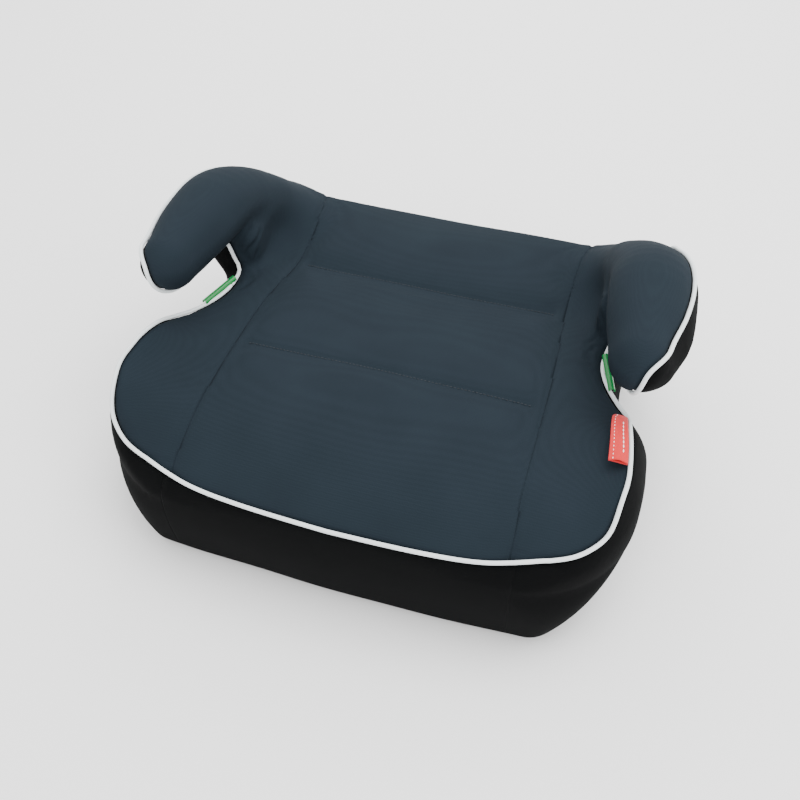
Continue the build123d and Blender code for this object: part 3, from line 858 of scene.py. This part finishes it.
# ==== stitches
def stitch_group():
    """Geometry nodes: rounded stitches spaced along a line of edges."""
    group = bpy.data.node_groups.new("stitch_run", "GeometryNodeTree")
    face = group.interface
    face.new_socket("Geometry", in_out="INPUT", socket_type="NodeSocketGeometry")
    for name, value in (("Pitch", 0.0032), ("Length", 0.0022), ("Thickness", 0.0006)):
        socket = face.new_socket(name, in_out="INPUT", socket_type="NodeSocketFloat")
        socket.default_value = value
    face.new_socket("Material", in_out="INPUT", socket_type="NodeSocketMaterial")
    face.new_socket("Geometry", in_out="OUTPUT", socket_type="NodeSocketGeometry")

    def add(kind, **facts):
        node = group.nodes.new(kind)
        for key, value in facts.items():
            setattr(node, key, value)
        return node

    start = add("NodeGroupInput")
    end = add("NodeGroupOutput")
    curve = add("GeometryNodeMeshToCurve")
    spaced = add("GeometryNodeResampleCurve", mode="LENGTH")
    ball = add("GeometryNodeMeshUVSphere")
    ball.inputs["Segments"].default_value = 8
    ball.inputs["Rings"].default_value = 6
    ball.inputs["Radius"].default_value = 0.5
    size = add("ShaderNodeCombineXYZ")
    along = add("GeometryNodeInputTangent")
    turn = add("FunctionNodeAlignRotationToVector", axis="Z")
    spread = add("GeometryNodeInstanceOnPoints")
    real = add("GeometryNodeRealizeInstances")
    smooth = add("GeometryNodeSetShadeSmooth")
    coat = add("GeometryNodeSetMaterial")
    link = group.links.new
    link(start.outputs["Geometry"], curve.inputs[0])
    link(curve.outputs[0], spaced.inputs["Curve"])
    link(start.outputs["Pitch"], spaced.inputs["Length"])
    link(spaced.outputs[0], spread.inputs["Points"])
    link(ball.outputs["Mesh"], spread.inputs["Instance"])
    link(along.outputs[0], turn.inputs["Vector"])
    link(turn.outputs[0], spread.inputs["Rotation"])
    link(start.outputs["Thickness"], size.inputs[0])
    link(start.outputs["Thickness"], size.inputs[1])
    link(start.outputs["Length"], size.inputs[2])
    link(size.outputs[0], spread.inputs["Scale"])
    link(spread.outputs[0], real.inputs[0])
    link(real.outputs[0], smooth.inputs[0])
    link(smooth.outputs[0], coat.inputs["Geometry"])
    link(start.outputs["Material"], coat.inputs["Material"])
    link(coat.outputs[0], end.inputs[0])
    return group


STITCHES = stitch_group()


def stitches(name, line, pitch, length, thickness, material, body="seat"):
    """A run of stitches along a line, as a plain mesh."""
    mesh = bpy.data.meshes.new(name + "_line")
    edges = [(i, i + 1) for i in range(len(line) - 1)]
    mesh.from_pydata(((line + SHIFT) * MM).tolist(), edges, [])
    guide = placed(name + "_line", mesh)
    nodes = guide.modifiers.new("stitches", "NODES")
    nodes.node_group = STITCHES
    values = {"Pitch": pitch * MM, "Length": length * MM, "Thickness": thickness * MM,
              "Material": material}
    for item in STITCHES.interface.items_tree:
        if item.in_out == "INPUT" and item.name in values:
            nodes[item.identifier] = values[item.name]
    bpy.context.view_layer.update()
    solved = guide.evaluated_get(bpy.context.evaluated_depsgraph_get())
    made = bpy.data.meshes.new_from_object(solved)
    bpy.data.objects.remove(guide)
    return dressed(placed(name, made), material, body=body)


top_tree = BVHTree.FromPolygons(d_grey[:, :3].tolist(), centre.tolist())


def dropped(xs, ys, over):
    line = []
    for a, b in zip(xs, ys):
        hit = top_tree.ray_cast(Vector((a, b, 300.0)), Vector((0, 0, -1)))[0]
        if hit is not None:
            line.append(np.array(hit) + np.array([0, 0, over]))
    return np.array(line)


for number, (at, bow) in enumerate(CROSS_SEAMS):
    xs = np.linspace(-117, 117, 160) if number == 0 else np.linspace(-112, 112, 160)
    seam = dropped(xs, at + bow * (1 - (xs / BOW_HALF) ** 2), 0.15)
    stitches(f"cross_stitches_{number + 1}", seam, 3.0, 2.3, 0.75, THREAD)

fold = tag_points.reshape(-1, tag_row, 3)[3:-1, 15] + np.array([0, 0, 0.25])
stitches("tag_edge_stitches", fold, 3.6, 1.7, 0.55, TAG_WHITE, body="tag")
band = tag_points.reshape(-1, tag_row, 3)[8:-6, 20] + np.array([0, 0, 0.22])
stitches("tag_stripe", band, 4.2, 3.4, 0.9, TAG_WHITE, body="tag")

# ==== foam under the cover
SEAT_FOAM, SEAT_FOAM_GAP = 17, 4.5     # thickness, and gap under the cloth
ARM_FOAM, ARM_FOAM_GAP = 6, 3.5


def seat_pad(x, y, z):
    roof = seat_field(x, y, z) + COVER + SEAT_FOAM_GAP
    return np.maximum(roof, top_height(x, y) - SEAT_FOAM - z)


def arm_pad(x, y, z):
    shell = arm_field(x, y, z) + COVER + ARM_FOAM_GAP
    shell = np.maximum(shell, -shell - ARM_FOAM)
    return np.maximum(shell, top_height(x, y) - 2 - z)


p, q = surface_net(seat_pad, (-222, -190, 60), (222, 184, 150), 5.0)
dressed(mesh_object("seat_foam", p, q), FOAM, stands_for=("seat_foam",))
p, q = surface_net(arm_pad, (140, -60, 90), (232, 190, 214), 4.0)
dressed(mesh_object("arm_foam_right", p, q), FOAM, stands_for=("arm_foam_right",))
dressed(mesh_object("arm_foam_left", flipped(p), q[:, ::-1]), FOAM,
        stands_for=("arm_foam_left",))

# ==== CAD pieces that stay
FINISHES = {
    "seat_shell": (BODY, "body_plastic"), "base_tray": (BODY, "body_plastic"),
    "arm_core_left": (BODY, "body_plastic"), "arm_core_right": (BODY, "body_plastic"),
    "arm_screws": (STEEL, "screw_steel"), "shell_screws": (STEEL, "screw_steel"),
    "hem_elastic": (ELASTIC, "elastic"),
    "belt_guide_left": (GREEN, "green_plastic"), "belt_guide_right": (GREEN, "green_plastic"),
}
for name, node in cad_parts.items():
    if node.hide_render:
        continue
    material, slot = FINISHES[name]
    node.data.materials.clear()
    node.data.materials.append(material)

# ==== stage
floor = bpy.data.meshes.new("floor")
floor.from_pydata([(-6, -6, 0), (6, -6, 0), (6, 6, 0), (-6, 6, 0)], [], [(0, 1, 2, 3)])
floor = placed("floor", floor)
floor.data.materials.append(plain("floor_white", (0.9, 0.9, 0.9, 1.0), 0.9))
floor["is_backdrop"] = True


AIM = (0, 0, 0.1)


def lamp(name, place, size, power):
    light = bpy.data.lights.new(name, "AREA")
    light.shape = "DISK"
    light.size = size
    light.energy = power
    piece = placed(name, light)
    piece.location = place
    piece.rotation_mode = "QUATERNION"
    piece.rotation_quaternion = (Vector(AIM) - Vector(place)).to_track_quat("-Z", "Y")
    piece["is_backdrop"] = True


lamp("key", (0.4, 0.3, 1.9), 1.4, 34)
lamp("fill", (1.5, -0.9, 1.0), 1.4, 14)
lamp("rim", (-0.3, 1.6, 1.1), 1.2, 16)

world = bpy.data.worlds.new("studio")
world.use_nodes = True
world.node_tree.nodes["Background"].inputs[0].default_value = (1, 1, 1, 1)
world.node_tree.nodes["Background"].inputs[1].default_value = 1.9
bpy.context.scene.world = world

camera = bpy.data.cameras.new("camera")
camera.lens = 42.75
camera.sensor_width = 36
camera = placed("camera", camera)
azimuth, elevation, roll = math.radians(18.56), math.radians(47.8), math.radians(-1.0)
camera.location = (0.1775, -0.5326, 0.6692)
toward = Vector((math.sin(azimuth) * math.cos(elevation), -math.cos(azimuth) * math.cos(elevation),
                 math.sin(elevation)))
camera.rotation_mode = "QUATERNION"
camera.rotation_quaternion = (-toward).to_track_quat("-Z", "Y") @ Quaternion((0, 0, 1), roll)
bpy.context.scene.camera = camera
camera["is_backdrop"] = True

bpy.context.view_layer.update()
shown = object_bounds()
